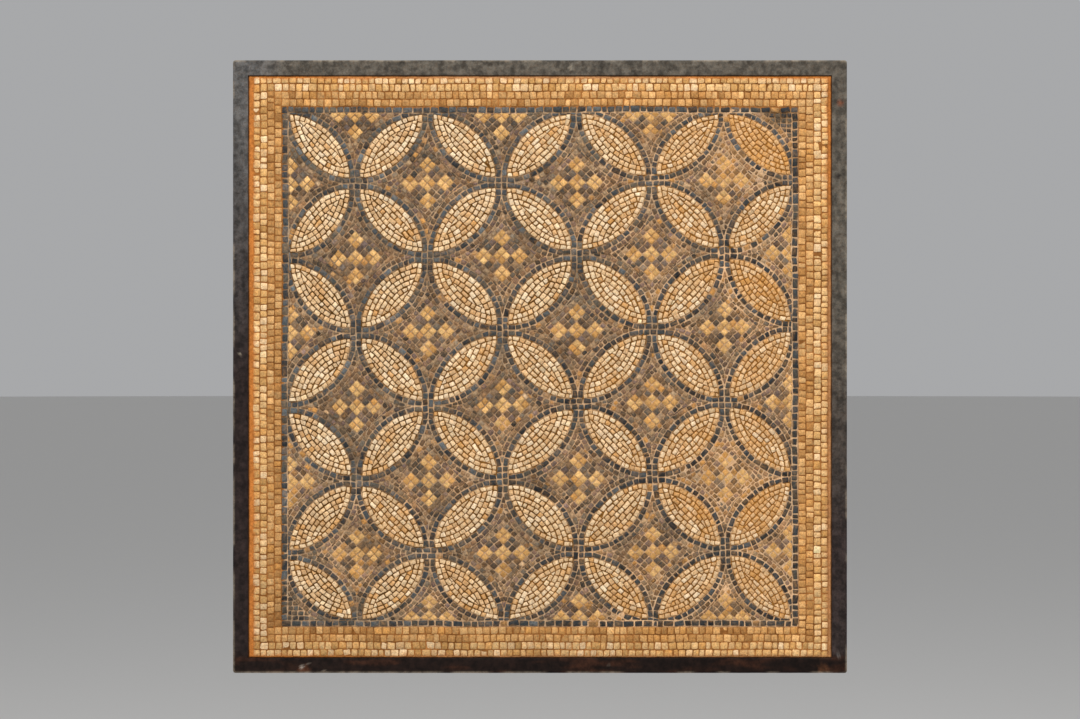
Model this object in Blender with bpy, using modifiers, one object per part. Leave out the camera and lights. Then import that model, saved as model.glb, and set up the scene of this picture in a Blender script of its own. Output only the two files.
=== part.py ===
"""Mosaic panel: stone tesserae bedded in mortar, held in a welded frame of steel angle.

Units are metres and +Z is up. The face looks along -Y. The back lies in the plane Y = 0,
with the origin at its centre, and +X is on the right of someone who looks at the face.
"""

import itertools
import math

import bmesh
import bpy

PART_NAME = "mosaic_panel"

# The whole panel, over the frame.
PANEL_WIDTH = 1.000
PANEL_HEIGHT = 0.998
PANEL_DEPTH = 0.040
FIT_GAP = 0.0003  # between solids that touch

# The frame: one leg of the angle lies on the face, the other runs back along the edge.
FACE_LEG = 0.0245
STEEL_THICKNESS = 0.003
FRAME_CORNER_RADIUS = 0.004
STEEL_ARRIS = 0.0007

# The tesserae.
TESSERA_DEPTH = 0.008
FACE_RECESS = 0.0018  # their faces lie this far behind the face of the steel
JOINT = 0.0014  # mortar between one run of tesserae and the next
ROW_PITCH = 0.0121  # from one row of the border to the next

# The field of interlaced circles: cells from left to right and from top to bottom, as set out.
COLUMN_WIDTHS = (0.113, 0.117, 0.121, 0.122, 0.122, 0.118, 0.118)
ROW_HEIGHTS = (0.118, 0.120, 0.119, 0.119, 0.120, 0.120, 0.121)
PETAL_INSET = 0.0068  # from a circle to the petal's curved edge
TIP_INSET = 0.0090  # from the sides of its cell to the edges of a petal's blunt tips
ARC_SEGMENTS = 8

# How far the circles stray from that drawing, as (to the right, upwards): the line round the
# field is straight, but its rows climb to the right and crowd together lower down.
STRAY_IN_MIDDLE = (0.0034, -0.0032)
STRAY_TOWARDS_RIGHT = (0.0018, 0.0053)
STRAY_TOWARDS_TOP = (-0.0023, 0.0071)

# The border rows: name, material, and place outwards from the dark line round the field.
BORDER_ROWS = (
    ("tan_row_inner", "tan_stone", 1),
    ("tan_row_outer", "tan_stone", 2),
    ("cream_row_inner", "cream_stone", 3),
    ("cream_row_outer", "cream_stone", 4),
)

# Base colour, roughness and metallic value of each material.
MATERIALS = {
    "painted_steel": ((0.045, 0.040, 0.038), 0.55, 0.3),
    "mortar": ((0.42, 0.20, 0.07), 0.95, 0.0),
    "cream_stone": ((0.66, 0.47, 0.25), 0.8, 0.0),
    "tan_stone": ((0.48, 0.29, 0.11), 0.8, 0.0),
    "dark_stone": ((0.10, 0.085, 0.075), 0.8, 0.0),
}

FIELD_WIDTH = sum(COLUMN_WIDTHS)
FIELD_HEIGHT = sum(ROW_HEIGHTS)
FRONT_Y = -PANEL_DEPTH
TESSERA_FRONT_Y = FRONT_Y + FACE_RECESS
TESSERA_BACK_Y = TESSERA_FRONT_Y + TESSERA_DEPTH
LAST_ROW_EDGE = (BORDER_ROWS[-1][2] + 0.5) * ROW_PITCH
CIRCLE_HANDLE = 4 / 3 * math.tan(math.pi / 8)  # handle of a quarter circle of radius 1


# ---- scene ------------------------------------------------------------------------------
def clear_scene():
    for obj in list(bpy.data.objects):
        bpy.data.objects.remove(obj, do_unlink=True)


def new_collection(name):
    collection = bpy.data.collections.new(name)
    bpy.context.scene.collection.children.link(collection)
    return collection


def make_material(name, colour, roughness, metallic):
    material = bpy.data.materials.new(name)
    material.use_nodes = True
    shader = material.node_tree.nodes["Principled BSDF"]
    shader.inputs["Base Color"].default_value = (*colour, 1)
    shader.inputs["Roughness"].default_value = roughness
    shader.inputs["Metallic"].default_value = metallic
    return material


# ---- outlines: each is a list of (point, left handle, right handle) -----------------------
def rectangle(width, height):
    """A sharp rectangle about the origin. None stands for a straight side's handle."""
    x, y = width / 2, height / 2
    return [((px, py), None, None) for px, py in ((-x, -y), (x, -y), (x, y), (-x, y))]


def rounded_rectangle(width, height, radius):
    """A rectangle about the origin with round corners, counter-clockwise."""
    outline = []
    for quarter in range(4):
        start, end = quarter * math.pi / 2, (quarter + 1) * math.pi / 2
        side_x = 1 if quarter in (0, 3) else -1
        side_y = 1 if quarter in (0, 1) else -1
        centre = (side_x * (width / 2 - radius), side_y * (height / 2 - radius))
        first, _, leave = arc_end(centre, radius, start, CIRCLE_HANDLE)
        last, arrive, _ = arc_end(centre, radius, end, CIRCLE_HANDLE)
        outline += [(first, None, leave), (last, arrive, None)]
    return outline


def arc_end(centre, radius, angle, handle):
    """A point of a circle with the Bezier handles of an arc that arrives there or leaves."""
    x = centre[0] + radius * math.cos(angle)
    y = centre[1] + radius * math.sin(angle)
    step_x, step_y = -handle * radius * math.sin(angle), handle * radius * math.cos(angle)
    return (x, y), (x - step_x, y - step_y), (x + step_x, y + step_y)


def petal(width, height, rising, inset, tip_inset):
    """The lens where two quarter circles of a cell overlap, pulled in from both.

    The circles are centred on two opposite corners of a cell about the origin. A rising petal
    runs from the lower left to the upper right, and the sides of the cell, pulled in by
    tip_inset, cut its tips square. A cell that isn't square stretches its circles.
    """
    size = (width + height) / 2
    radius = 1 - inset / size
    tip = 0.5 - tip_inset / size
    half_sweep = math.pi / 4 - math.acos((0.5 + tip) / radius)
    handle = 4 / 3 * math.tan(half_sweep / 2)
    lens = []
    for side in (1, -1):
        centre = (-0.5 * side, 0.5 * side)
        facing = math.pi / 4 - side * math.pi / 2
        start = arc_end(centre, radius, facing - half_sweep, handle)
        end = arc_end(centre, radius, facing + half_sweep, handle)
        lens += [
            ((-tip * side, -tip * side), None, None),
            (start[0], None, start[2]),
            (end[0], end[1], None),
        ]
    across = width if rising else -width
    return reshaped(lens, lambda x, y: (x * across, y * height))


def reshaped(outline, rule):
    """An outline whose points and handles are moved by a rule."""
    return [tuple(None if part is None else rule(*part) for part in point) for point in outline]


def moved(outline, x, y):
    return reshaped(outline, lambda px, py: (px + x, py + y))


# ---- solids -----------------------------------------------------------------------------
def upright_slab(name, outlines, front_y, back_y, collection, segments=ARC_SEGMENTS):
    """A flat solid whose outlines, given as (x, z), run from front_y back to back_y."""
    curve = bpy.data.curves.new(name, "CURVE")
    curve.dimensions = "2D"
    curve.fill_mode = "BOTH"
    curve.extrude = (back_y - front_y) / 2
    curve.resolution_u = segments
    curve.render_resolution_u = 0
    for outline in outlines:
        spline = curve.splines.new("BEZIER")
        spline.bezier_points.add(len(outline) - 1)
        spline.use_cyclic_u = True
        for point, (place, left, right) in zip(spline.bezier_points, outline):
            point.co = (*place, 0)
            point.handle_left_type = "FREE" if left else "VECTOR"
            point.handle_right_type = "FREE" if right else "VECTOR"
            point.handle_left = (*(left or place), 0)
            point.handle_right = (*(right or place), 0)
    slab = bpy.data.objects.new(name, curve)
    slab.rotation_euler = (math.pi / 2, 0, 0)
    slab.location = (0, (front_y + back_y) / 2, 0)
    collection.objects.link(slab)
    return slab


def as_mesh(curve_object, collection):
    """The closed mesh of a curve's solid, in its place and under its name."""
    bpy.context.view_layer.update()
    graph = bpy.context.evaluated_depsgraph_get()
    mesh = bpy.data.meshes.new_from_object(curve_object.evaluated_get(graph))
    shell = bmesh.new()
    shell.from_mesh(mesh)
    bmesh.ops.remove_doubles(shell, verts=shell.verts, dist=FIT_GAP / 10)
    bmesh.ops.recalc_face_normals(shell, faces=shell.faces)
    shell.to_mesh(mesh)
    shell.free()
    name = curve_object.name
    place = curve_object.matrix_world.copy()
    bpy.data.objects.remove(curve_object, do_unlink=True)
    solid = bpy.data.objects.new(name, mesh)
    solid.matrix_world = place
    collection.objects.link(solid)
    return solid


def cut(solid, cutter):
    cutter.hide_render = True
    cutter.display_type = "WIRE"
    boolean = solid.modifiers.new(cutter.name, "BOOLEAN")
    boolean.operation = "DIFFERENCE"
    boolean.solver = "EXACT"
    boolean.object = cutter


def cell_edges(sizes):
    """Where the cells of these sizes begin and end, about zero."""
    return [edge - sum(sizes) / 2 for edge in itertools.accumulate(sizes, initial=0)]


def cells():
    """Row, column, centre x and z, width, height and direction of every petal's cell."""
    column_edges, row_edges = cell_edges(COLUMN_WIDTHS), cell_edges(ROW_HEIGHTS)
    for row, height in enumerate(ROW_HEIGHTS):
        for column, width in enumerate(COLUMN_WIDTHS):
            x = (column_edges[column] + column_edges[column + 1]) / 2
            z = -(row_edges[row] + row_edges[row + 1]) / 2
            yield row + 1, column + 1, x, z, width, height, (row + column) % 2 == 1


def as_laid(x, z):
    """Where a point of the drawn field really lies."""
    right, up = 2 * x / FIELD_WIDTH, 2 * z / FIELD_HEIGHT
    stray_x, stray_z = (
        middle + right * across + up * upwards
        for middle, across, upwards in zip(STRAY_IN_MIDDLE, STRAY_TOWARDS_RIGHT, STRAY_TOWARDS_TOP)
    )
    return x + stray_x * (1 - right**6), z + stray_z * (1 - up**6)


def laid_petals(inset, tip_inset):
    """Row, column and outline of every petal, in its place on the panel."""
    for row, column, x, z, width, height, rising in cells():
        outline = moved(petal(width, height, rising, inset, tip_inset), x, z)
        yield row, column, reshaped(outline, as_laid)


# ---- the pieces ---------------------------------------------------------------------------
def make_frame(parts, cutters):
    """Steel angle all round, welded and dressed at the corners, which are slightly rounded."""
    outline = rounded_rectangle(PANEL_WIDTH, PANEL_HEIGHT, FRAME_CORNER_RADIUS)
    frame = as_mesh(upright_slab("frame", [outline], FRONT_Y, 0, parts, 4), parts)
    opening = rectangle(PANEL_WIDTH - 2 * FACE_LEG, PANEL_HEIGHT - 2 * FACE_LEG)
    inside = rectangle(
        PANEL_WIDTH - 2 * STEEL_THICKNESS, PANEL_HEIGHT - 2 * STEEL_THICKNESS
    )
    leg_back = FRONT_Y + STEEL_THICKNESS
    beyond = PANEL_DEPTH / 2  # how far the cutters run past the panel
    for name, loop, front, back in (
        ("frame_opening", opening, FRONT_Y - beyond, beyond),
        ("frame_inside", inside, leg_back, beyond),
    ):
        cut(frame, as_mesh(upright_slab(name, [loop], front, back, cutters), cutters))
    arris = frame.modifiers.new("arris", "BEVEL")
    arris.width = STEEL_ARRIS
    arris.segments = 1
    arris.limit_method = "ANGLE"
    arris.angle_limit = math.radians(60)
    return frame


def make_bed(parts, cutters):
    """The mortar slab: it fills the frame to its back and passes under its face legs."""
    clearance = 2 * (STEEL_THICKNESS + FIT_GAP)
    slab = rectangle(PANEL_WIDTH - clearance, PANEL_HEIGHT - clearance)
    front = FRONT_Y + STEEL_THICKNESS + FIT_GAP
    bed = as_mesh(upright_slab("mortar_bed", [slab], front, 0, parts), parts)
    recess = border_rectangle(LAST_ROW_EDGE + JOINT / 2)
    cutter = upright_slab(
        "tessera_recess", [recess], FRONT_Y, TESSERA_BACK_Y + FIT_GAP, cutters
    )
    cut(bed, as_mesh(cutter, cutters))
    return bed


def border_rectangle(outwards):
    """A rectangle that lies this far outside the middle of the dark line round the field."""
    return rectangle(FIELD_WIDTH + 2 * outwards, FIELD_HEIGHT + 2 * outwards)


def make_border_row(name, place, parts):
    """One row of the border, all the way round."""
    outer = border_rectangle((place + 0.5) * ROW_PITCH - JOINT / 2)
    inner = border_rectangle((place - 0.5) * ROW_PITCH + JOINT / 2)
    return upright_slab(name, [outer, inner], TESSERA_FRONT_Y, TESSERA_BACK_Y, parts)


def make_ground(parts):
    """The dark tesserae: the line round the field, the circles and what lies between them."""
    holes = [hole for _, _, hole in laid_petals(PETAL_INSET - JOINT, TIP_INSET - JOINT)]
    outer = border_rectangle(ROW_PITCH / 2 - JOINT / 2)
    return upright_slab(
        "dark_ground", [outer, *holes], TESSERA_FRONT_Y, TESSERA_BACK_Y, parts
    )


def make_petals(parts):
    for row, column, outline in laid_petals(PETAL_INSET, TIP_INSET):
        places = [place for place, _, _ in outline]
        x, z = (sum(values) / len(places) for values in zip(*places))
        name = f"petal_r{row}_c{column}"
        outline = moved(outline, -x, -z)
        piece = upright_slab(name, [outline], TESSERA_FRONT_Y, TESSERA_BACK_Y, parts)
        piece.location.x, piece.location.z = x, z
        yield piece


def main():
    clear_scene()
    parts = new_collection(PART_NAME)
    cutters = new_collection("cutters")
    materials = {name: make_material(name, *look) for name, look in MATERIALS.items()}
    panel = bpy.data.objects.new(PART_NAME, None)
    parts.objects.link(panel)

    pieces = [
        (make_frame(parts, cutters), "painted_steel"),
        (make_bed(parts, cutters), "mortar"),
        (make_ground(parts), "dark_stone"),
    ]
    for name, stone, place in BORDER_ROWS:
        pieces.append((make_border_row(name, place, parts), stone))
    pieces += [(piece, "cream_stone") for piece in make_petals(parts)]

    for piece, stone in pieces:
        piece.data.materials.append(materials[stone])
        piece.parent = panel


main()
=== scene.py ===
"""The mosaic panel's looks: every tessera, the mortar between them and the worn steel frame.

Metres, +Z up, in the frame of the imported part: the mosaic faces -Y and its back is at Y = 0.
Tesserae are laid out as convex outlines in the plane (x, z), counter-clockwise, on an even
lattice. They are then carried to where the panel's own petals lie, and given their thickness.
"""

import math
from functools import cache
from typing import Callable, NamedTuple

import bpy
import numpy as np
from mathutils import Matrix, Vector, noise


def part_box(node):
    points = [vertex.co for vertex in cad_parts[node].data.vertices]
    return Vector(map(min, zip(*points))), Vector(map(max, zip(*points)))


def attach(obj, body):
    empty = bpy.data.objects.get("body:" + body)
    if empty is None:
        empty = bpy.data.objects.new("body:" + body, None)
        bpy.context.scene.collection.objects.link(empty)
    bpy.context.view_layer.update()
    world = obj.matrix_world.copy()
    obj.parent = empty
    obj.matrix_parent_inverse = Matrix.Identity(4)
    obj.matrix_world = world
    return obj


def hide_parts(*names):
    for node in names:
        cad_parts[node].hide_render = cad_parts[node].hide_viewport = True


MM = 0.001
QUARTER = math.pi / 2
SEED = 11
rng = np.random.default_rng(SEED)

# ---- the panel, read from the frame --------------
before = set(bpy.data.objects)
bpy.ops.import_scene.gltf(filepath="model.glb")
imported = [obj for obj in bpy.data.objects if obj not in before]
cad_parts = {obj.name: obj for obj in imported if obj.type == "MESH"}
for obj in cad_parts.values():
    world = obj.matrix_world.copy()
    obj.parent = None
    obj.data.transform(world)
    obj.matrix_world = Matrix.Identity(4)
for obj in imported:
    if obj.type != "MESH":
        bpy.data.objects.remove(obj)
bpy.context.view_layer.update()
frame_low, frame_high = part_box("frame")
bed_low, bed_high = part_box("mortar_bed")
ground_low, ground_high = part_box("dark_ground")

ROWS = 7
COLUMNS = 7
HALF_WIDTH = frame_high.x
HALF_HEIGHT = frame_high.z
FRONT_Y = frame_low.y
BACK_Y = frame_high.y
FACE_Y = ground_low.y  # the worn faces of the tesserae

# ---- driving sizes -------------------------------
FACE_LEG = 24.5 * MM  # the steel angle: its leg across the front, thickness and corner
STEEL = 3 * MM
CORNER_RADIUS = 4 * MM
BORDER_PITCHES = (12.4 * MM, 12.5 * MM, 12.4 * MM, 11.8 * MM)  # bottom, right, top and left rows
OUTER_CUTS = (0.8 * MM, 1.2 * MM, 2.4 * MM, 0)  # how much narrower the outermost rows are
LINE_MARGIN = 5.1 * MM  # from the middle of the dark line round the field to its outer edge
LINE_INNER = 5.4 * MM  # and to its inner edge
OUTLINE_IN = 7.1 * MM  # from each circle to its outline's edge inside it
OUTLINE_OUT = 2.0 * MM  # and outside it
PAIR_HALF = 9.2 * MM  # an outline's width beside its neighbour's, where two circles touch
ARC_ROW = 7.8 * MM  # the row of ground stones that follows each outline
CHECK = 10.1 * MM  # the small chequered stones
GROUND_ROW = 7.6 * MM
EDGE_SHIFT = 9 * MM  # how far the chequer of a half field stands in from the dark line
BORDER_STONE = 11.4 * MM  # the usual length of a stone in each kind of row
LINE_STONE = 13.4 * MM
OUTLINE_STONE = 12 * MM
PETAL_STONE = 10.4 * MM
ARC_STONE = 9.2 * MM
GROUND_STONE = 8.8 * MM
CORNER_STONE = 8.8 * MM
STONE_DEPTH = 5 * MM
SMALLEST_STONE = 4 * MM * MM

FIELD_WIDTH = ground_high.x - ground_low.x - 2 * LINE_MARGIN
FIELD_HEIGHT = ground_high.z - ground_low.z - 2 * LINE_MARGIN
PITCH = (FIELD_WIDTH + FIELD_HEIGHT) / (COLUMNS + ROWS)  # an even cell of the lattice
HALF_FIELD = PITCH * COLUMNS / 2
INSIDE_LINE = HALF_FIELD - LINE_INNER  # the inner edge of the dark line round the field
DIAGONAL = PITCH / math.sqrt(2)  # from a petal's middle to the centre of each of its arcs


# ---- numbers, colours and noise ------------------
def smooth(low, high, value):
    """A step that rises smoothly from 0 at low to 1 at high; low may be the larger."""
    t = min(max((value - low) / (high - low), 0.0), 1.0)
    return t * t * (3 - 2 * t)


def mix(a, b, share):
    return a + (b - a) * share


@cache
def linear(colour):
    """An sRGB colour, 0 to 255, as linear numbers."""
    c = np.asarray(colour, float) / 255
    return np.where(c <= 0.04045, c / 12.92, ((c + 0.055) / 1.055) ** 2.4)


def wave(x, z, size, layer):
    """Smooth noise from about -1 to 1, with features about size metres across.

    Each layer is a noise of its own.
    """
    return noise.noise(Vector((x / size, z / size, 7.3 * layer)))


def blotch(x, z, patch):
    """1 in the middle of a patch, falling to 0 round an edge that noise pushes about."""
    patch_x, patch_z, radius, strength = patch
    distance = math.hypot(x - patch_x, z - patch_z) / radius
    if distance > 2:
        return 0.0
    distance += 0.4 * wave(x, z, radius * 0.6, 5)
    return strength * (1 - smooth(0.35, 1.35, distance))


# ---- outlines in the plane -----------------------
def clipped(polygon, point, outward):
    """The part of a convex outline behind the line through point with this outward normal."""
    if len(polygon) < 3:
        return polygon
    side = (polygon - point) @ outward
    if (side <= 0).all():
        return polygon
    kept = []
    for i in range(len(polygon)):
        j = (i + 1) % len(polygon)
        if side[i] <= 0:
            kept.append(polygon[i])
        if side[i] * side[j] < 0:
            share = side[i] / (side[i] - side[j])
            kept.append(mix(polygon[i], polygon[j], share))
    return np.array(kept)


def area(polygon):
    if len(polygon) < 3:
        return 0.0
    x, z = polygon.T
    return float(x @ np.roll(z, -1) - z @ np.roll(x, -1)) / 2


def cut_by_circle(polygon, centre, radius, keep):
    """Cuts along the tangent nearest the outline; keep is 1 for the inside and -1 for outside."""
    if len(polygon) < 3:
        return polygon
    outward = polygon.mean(0) - centre
    outward /= np.linalg.norm(outward)
    return clipped(polygon, centre + outward * radius, outward * keep)


def cut_to_square(polygon, centre, half):
    for outward in np.array([(1, 0), (-1, 0), (0, 1), (0, -1)], float):
        polygon = clipped(polygon, centre + outward * half, outward)
    return polygon


def steps(start, end, size, spread=0.12):
    """The edges of stones of about this size that fill a run, unevenly."""
    count = max(1, round((end - start) / size))
    lengths = 1 + spread * rng.standard_normal(count).clip(-2, 2)
    edges = np.concatenate([[0], np.cumsum(lengths)])
    return start + (end - start) * edges / edges[-1]


def pairs(edges):
    return zip(edges[:-1], edges[1:])


def ring_part(centre, inner, outer, start, end):
    """An outline between two radii and two angles about centre."""
    polar = ((inner, start), (outer, start), (outer, end), (inner, end))
    return np.array([centre + r * direction(angle) for r, angle in polar])


def direction(angle):
    return np.array([math.cos(angle), math.sin(angle)])


def crosswise(vector):
    return np.array([-vector[1], vector[0]])


def sides(half_width, half_height):
    """A rectangle's sides in turn: number, direction, inward normal, half length and distance."""
    halves = (half_width, half_height)
    for quadrant in range(4):
        along = direction(quadrant * QUARTER)
        length, distance = halves if quadrant % 2 == 0 else halves[::-1]
        yield quadrant, along, crosswise(along), length, distance


def slanted(origin, along, u0, u1, v0, v1):
    """A rectangle in axes turned to along, from u0 to u1 along it and v0 to v1 across it."""
    across = crosswise(along)
    return np.array(
        [origin + along * u + across * v for u, v in ((u0, v0), (u1, v0), (u1, v1), (u0, v1))]
    )


# ---- the layout of the field, on the even lattice ----
def lattice(row, column):
    """A corner of the lattice's cells, or a point between corners."""
    return np.array([column * PITCH - HALF_FIELD, HALF_FIELD - row * PITCH])


def in_field(point):
    return np.abs(point).max() <= HALF_FIELD + MM


def corners(parity):
    """Rows and columns of every other corner: 1 for circle centres, 0 where petals meet."""
    for row in range(ROWS + 1):
        for column in range(COLUMNS + 1):
            if (row + column) % 2 == parity:
                yield row, column


PAIR_REACH = math.sqrt(2 * PITCH * OUTLINE_OUT)  # where two outlines part, from where they touch


def outline_stones():
    """The dark rows along every circle, and the crossings where they touch."""
    for row, column in corners(1):
        centre = lattice(row, column)
        for quadrant in range(4):
            start = quadrant * QUARTER
            if in_field(centre + direction(start + QUARTER / 2) * PITCH):
                yield from quarter_outline(centre, start)
    for row, column in corners(0):
        yield from crossing(lattice(row, column))


def quarter_outline(centre, start):
    reaches = []
    for angle in (start, start + QUARTER):
        outward = direction(angle)
        touches_line = abs((centre + outward * PITCH) @ outward) > HALF_FIELD - MM
        reaches.append((PAIR_HALF if touches_line else PAIR_REACH) / PITCH)
    first = start + reaches[0]
    last = start + QUARTER - reaches[1]
    for a, b in pairs(steps(first, last, OUTLINE_STONE / PITCH, 0.2)):
        stone = ring_part(centre, PITCH - OUTLINE_IN, PITCH + OUTLINE_OUT, a, b)
        stone = cut_to_square(stone, centre, PITCH)
        yield cut_to_square(stone, np.zeros(2), INSIDE_LINE)


def crossing(node):
    """Two outlines side by side, and the two that they cut where four circles touch."""
    at_line = np.abs(node) > HALF_FIELD - MM
    if at_line.all():
        return
    upright = at_line[1] or (not at_line[0] and rng.random() < 0.7)
    along = direction(QUARTER if upright else 0)
    for side in (-1, 1):
        low, high = sorted((0, side * PAIR_HALF))
        for a, b in pairs(steps(-PAIR_REACH, PAIR_REACH, OUTLINE_STONE, 0.14)):
            yield cut_to_square(slanted(node, along, a, b, low, high), np.zeros(2), INSIDE_LINE)
        if at_line.any():
            continue
        for way in (-1, 1):
            a, b = sorted((way * PAIR_HALF, way * PAIR_REACH))
            yield slanted(node, crosswise(along), a, b, low, high)


PETAL_RADIUS = PITCH - OUTLINE_IN
PETAL_HALF = PETAL_RADIUS - DIAGONAL  # half of a petal's width
PETAL_ROWS = 7
SLIVER = 24 * MM * MM  # the end of a row that is joined to the stone before it
# Rows that follow each of a petal's two arcs; straight rows fill the middle.
PETAL_PLANS = ((1, 1), (2, 1), (1, 2), (2, 2), (6, 1), (1, 6), (5, 2), (3, 3), (4, 3), (2, 3))


def petal_stones(row, column):
    middle = lattice(row + 0.5, column + 0.5)
    rising = (row + column) % 2 == 1
    long_way = direction(QUARTER / 2 if rising else -QUARTER / 2)
    centres = [middle + side * crosswise(long_way) * DIAGONAL for side in (1, -1)]
    counts = PETAL_PLANS[rng.integers(len(PETAL_PLANS))]
    row_width = 2 * PETAL_HALF / PETAL_ROWS
    inner_radii = [PETAL_RADIUS - count * row_width for count in counts]

    def blunted(stone):
        for outward in map(direction, QUARTER * np.arange(4)):
            side = middle + outward * PITCH / 2
            inset = LINE_INNER if side @ outward > HALF_FIELD - MM else PAIR_HALF
            stone = clipped(stone, side - outward * inset, outward)
        return stone

    for side in (0, 1):
        other = 1 - side
        for level in range(counts[side]):
            outer = PETAL_RADIUS - level * row_width
            limit = PETAL_RADIUS - row_width * min(level + side, counts[other])
            radii = (outer - row_width, outer)
            yield from arc_row(centres[side], radii, centres[other], limit, blunted)
    yield from straight_rows(middle, long_way, row_width, centres, inner_radii, blunted)


def arc_row(own, radii, other, limit, blunted):
    """A row between two radii about own, as far as a circle about other."""
    inner, outer = radii
    between = np.linalg.norm(other - own)
    cosine = (outer**2 + between**2 - limit**2) / (2 * outer * between)
    if cosine >= 1:
        return
    facing = math.atan2(*(other - own)[::-1])
    sweep = math.acos(cosine)  # at the outer edge, where a row reaches furthest

    def stone_between(a, b):
        return blunted(cut_by_circle(ring_part(own, inner, outer, a, b), other, limit, 1))

    yield from cut_row(steps(facing - sweep, facing + sweep, PETAL_STONE / outer, 0.2), stone_between)


def cut_row(edges, stone_between):
    """The stones of a row; where little is left of the one at an end, it joins its neighbour."""
    edges = list(edges)
    if len(edges) > 3 and area(stone_between(edges[0], edges[1])) < SLIVER:
        del edges[1]
    if len(edges) > 3 and area(stone_between(edges[-2], edges[-1])) < SLIVER:
        del edges[-2]
    for a, b in pairs(edges):
        yield stone_between(a, b)


def straight_rows(middle, long_way, row_width, centres, radii, blunted):
    """Rows along a petal's long axis, between its innermost arcs."""
    low = DIAGONAL - radii[0]
    high = radii[1] - DIAGONAL
    if high - low < 0.4 * row_width:
        return
    tip = (radii[1] ** 2 - radii[0] ** 2) / (4 * DIAGONAL)
    for bottom, top in pairs(steps(low, high, row_width, 0.04)):
        height = min(max(tip, bottom), top)  # where the row reaches furthest
        chords = [r**2 - (height - sign * DIAGONAL) ** 2 for r, sign in zip(radii, (1, -1))]
        if min(chords) <= 0:
            continue
        reach = math.sqrt(min(chords))

        def stone_between(start, end):
            stone = slanted(middle, long_way, start, end, bottom, top)
            for centre, radius in zip(centres, radii):
                stone = cut_by_circle(stone, centre, radius, 1)
            return blunted(stone)

        yield from cut_row(steps(-reach, reach, PETAL_STONE, 0.24), stone_between)


ARC_INNER = PITCH + OUTLINE_OUT
ARC_OUTER = ARC_INNER + ARC_ROW
CUSP_START = 81 * MM  # from a field's centre to the single stone in each of its points
CUSP_END = 92 * MM  # and to that stone's far end
CORNER_ROWS = 9
CHEQUER_HALF = 3  # stones from the middle of the chequer to its edge
GROUND_ROWS = 3  # on each side of the chequer


def field_stones(row, column):
    """What fills the hollow square round one circle's centre, as pairs of outline and kind."""
    centre = lattice(row, column)
    diagonals = [direction((quadrant + 0.5) * QUARTER) for quadrant in range(4)]
    others = [centre + way * 2 * DIAGONAL for way in diagonals if in_field(centre + way * PITCH)]
    for other in others:
        for stone in field_arc_row(centre, other):
            yield cut_to_square(stone, np.zeros(2), INSIDE_LINE), "ground"
    for quadrant in range(4):
        along = direction(quadrant * QUARTER)
        if in_field(centre + along * PITCH):
            stone = cusp_stone(centre, along)
            yield cut_to_square(stone, np.zeros(2), INSIDE_LINE), "ground"
    if len(others) == 1:
        fill = square_fill(centre)
    else:
        at_edge = np.abs(centre) > HALF_FIELD - MM
        fill = chequered_fill(centre - np.sign(centre) * at_edge * EDGE_SHIFT)
    for stone, kind in fill:
        for other in others:
            stone = cut_by_circle(stone, other, ARC_OUTER, -1)
        yield cut_to_square(stone, np.zeros(2), INSIDE_LINE), kind


def field_arc_row(centre, other):
    """One row of ground stones along an outline, within its quarter of the field."""
    facing = math.atan2(*(centre - other)[::-1])
    sweep = QUARTER / 2 - math.asin((PITCH - CUSP_START) / ARC_OUTER)
    towards = np.sign(centre - other)
    for a, b in pairs(steps(facing - sweep, facing + sweep, ARC_STONE / ARC_INNER, 0.14)):
        stone = ring_part(other, ARC_INNER, ARC_OUTER, a, b)
        stone = clipped(stone, centre, towards * (1, 0))
        stone = clipped(stone, centre, towards * (0, 1))
        yield cut_to_square(stone, centre, CUSP_START)


def cusp_stone(centre, along):
    def half(distance):
        return PITCH - math.sqrt(ARC_INNER**2 - (PITCH - distance) ** 2)

    near, far = half(CUSP_START), half(CUSP_END)
    ends = ((CUSP_START, -near), (CUSP_END, -far), (CUSP_END, far), (CUSP_START, near))
    return np.array([centre + along * u + crosswise(along) * v for u, v in ends])


def square_fill(centre):
    """Small stones laid square to the frame, in a corner of the field."""
    inward = -np.sign(centre)
    start = centre + inward * LINE_INNER
    for i in range(CORNER_ROWS):
        edges = steps(0, CORNER_ROWS * CORNER_STONE, CORNER_STONE)
        for a, b in pairs(edges):
            low = start + inward * (a, i * CORNER_STONE)
            high = start + inward * (b, (i + 1) * CORNER_STONE)
            (x0, z0), (x1, z1) = np.minimum(low, high), np.maximum(low, high)
            yield np.array([(x0, z0), (x1, z0), (x1, z1), (x0, z1)]), "slate"


def chequered_fill(centre):
    """The slanted chequer of nine squares of four stones, and ground in rows round it."""
    slant = direction(QUARTER / 2)
    for i in range(-CHEQUER_HALF, CHEQUER_HALF):
        for j in range(-CHEQUER_HALF, CHEQUER_HALF):
            square = (i + CHEQUER_HALF) // 2 + (j + CHEQUER_HALF) // 2
            kind = "ochre" if square % 2 == 0 else "check"
            yield slanted(centre, slant, i * CHECK, (i + 1) * CHECK, j * CHECK, (j + 1) * CHECK), kind
    for quadrant in range(4):
        along = direction((quadrant + 0.5) * QUARTER)
        for level in range(GROUND_ROWS):
            near = CHEQUER_HALF * CHECK + level * GROUND_ROW
            far = near + GROUND_ROW
            for a, b in pairs(steps(-far, near, GROUND_STONE, 0.14)):
                yield slanted(centre, along, near, far, a, b), "ground"


def line_stones():
    """The dark line of single stones round the field."""
    for _, along, inward, length, distance in sides(HALF_FIELD, HALF_FIELD):
        for a, b in pairs(steps(-length - LINE_MARGIN, length - LINE_INNER, LINE_STONE, 0.2)):
            yield slanted(-inward * distance, along, a, b, -LINE_MARGIN, LINE_INNER)


# ---- from the lattice to the panel ---------------
DRIFT = 2.0 * MM  # how far a hand-set stone strays from its neighbours' line
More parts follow.
